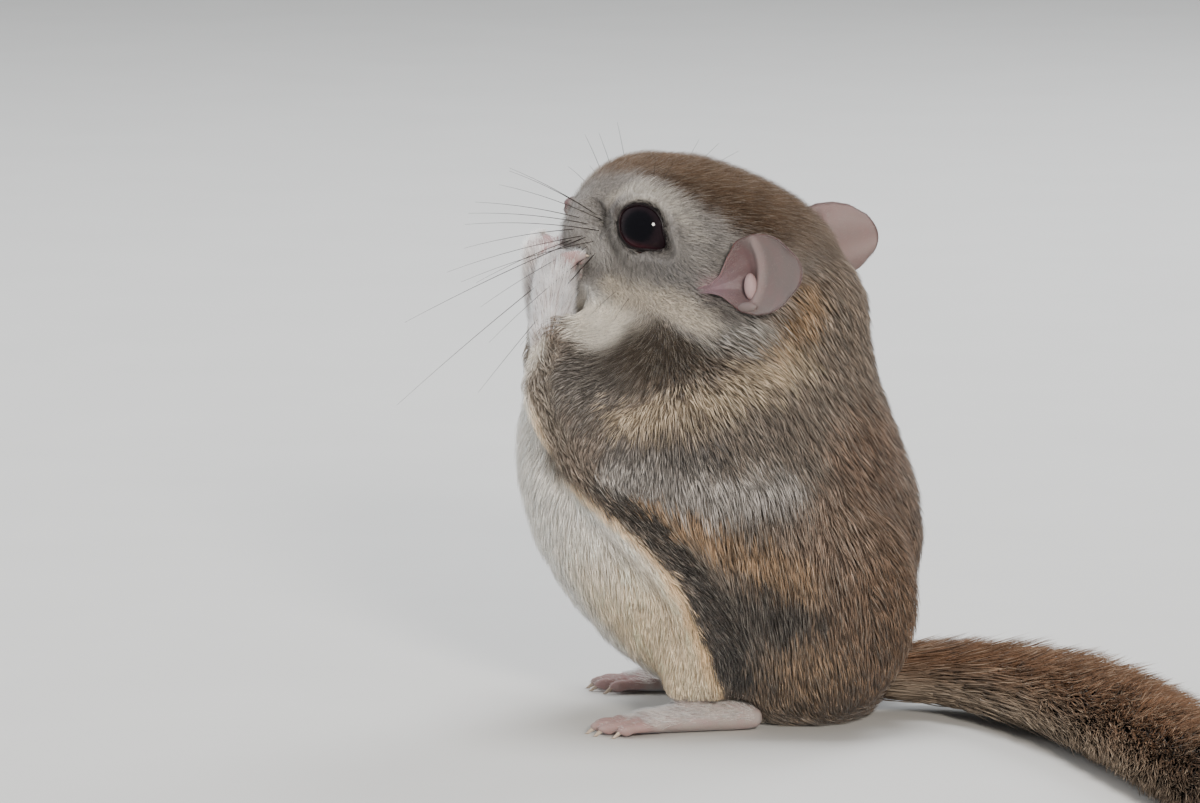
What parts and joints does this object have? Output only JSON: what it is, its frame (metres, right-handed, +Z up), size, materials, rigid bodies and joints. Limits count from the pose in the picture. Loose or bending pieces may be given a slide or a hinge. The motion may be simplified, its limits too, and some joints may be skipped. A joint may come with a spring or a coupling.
{
  "type": "flying squirrel model",
  "caption": "Life-size still model of a small flying squirrel sitting up with both hands at its mouth and its bushy tail curled on the floor.",
  "frame": {"origin": "the middle of the model's box, at the floor that it sits on", "axes": "+Z up; the animal faces -X and its left side faces -Y; its tail curls round towards -Y"},
  "size_m": [0.1196, 0.1334, 0.0841],
  "materials": {
    "brown_coat": "soft grey-brown fur",
    "grey_coat": "short grey fur",
    "white_coat": "soft cream-white fur",
    "bare_skin": "thin pinkish skin with fine hair",
    "eye": "wet and nearly black",
    "tail_coat": "long rufous-brown hair"
  },
  "bodies": {
    "root": {"head": "grey_coat", "muzzle": "grey_coat", "jaw": "white_coat", "whisker_pad_left": "grey_coat", "whisker_pad_right": "grey_coat", "nose": "bare_skin", "eye_left": "eye", "eye_right": "eye", "ear_left": "bare_skin", "ear_right": "bare_skin", "neck": "brown_coat", "chest": "brown_coat", "belly": "white_coat", "rump": "brown_coat", "upper_arm_left": "brown_coat", "upper_arm_right": "brown_coat", "forearm_left": "grey_coat", "forearm_right": "grey_coat", "hand_left": "bare_skin", "hand_right": "bare_skin", "membrane_left": "grey_coat", "membrane_right": "grey_coat", "thigh_left": "brown_coat", "thigh_right": "brown_coat", "shin_left": "white_coat", "shin_right": "white_coat", "foot_left": "bare_skin", "foot_right": "bare_skin", "tail_root": "tail_coat", "tail_upper": "tail_coat", "tail_lower": "tail_coat", "tail_tip": "tail_coat"}
  },
  "joints": []
}
